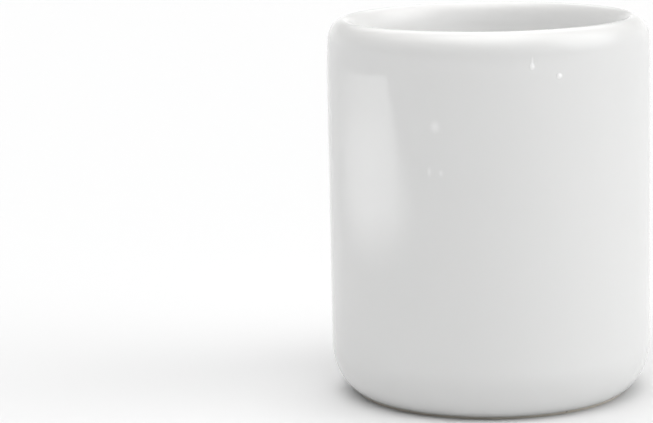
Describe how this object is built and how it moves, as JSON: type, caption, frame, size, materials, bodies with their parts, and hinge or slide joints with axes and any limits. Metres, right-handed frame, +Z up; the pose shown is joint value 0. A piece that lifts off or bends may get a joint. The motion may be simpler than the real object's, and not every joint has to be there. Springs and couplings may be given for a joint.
{
  "type": "crucible",
  "caption": "Thick-walled straight-sided porcelain crucible, glazed inside and out, with a rolled rim, a rounded base corner and a bare foot.",
  "frame": {"origin": "centre of the flat base that the crucible stands on", "axes": "+Z up along the crucible's axis, out of the mouth; X and Y are any two directions across it, because it is round"},
  "size_m": [0.04, 0.04, 0.047],
  "materials": {
    "biscuit_porcelain": "matt, bare fired porcelain with a fine grain",
    "outer_glaze": "gloss, colourless glaze over white porcelain",
    "inner_glaze": "gloss, colourless glaze over white porcelain"
  },
  "bodies": {
    "root": {"porcelain_body": "biscuit_porcelain", "outer_glaze": "outer_glaze", "inner_glaze": "inner_glaze"}
  },
  "joints": []
}
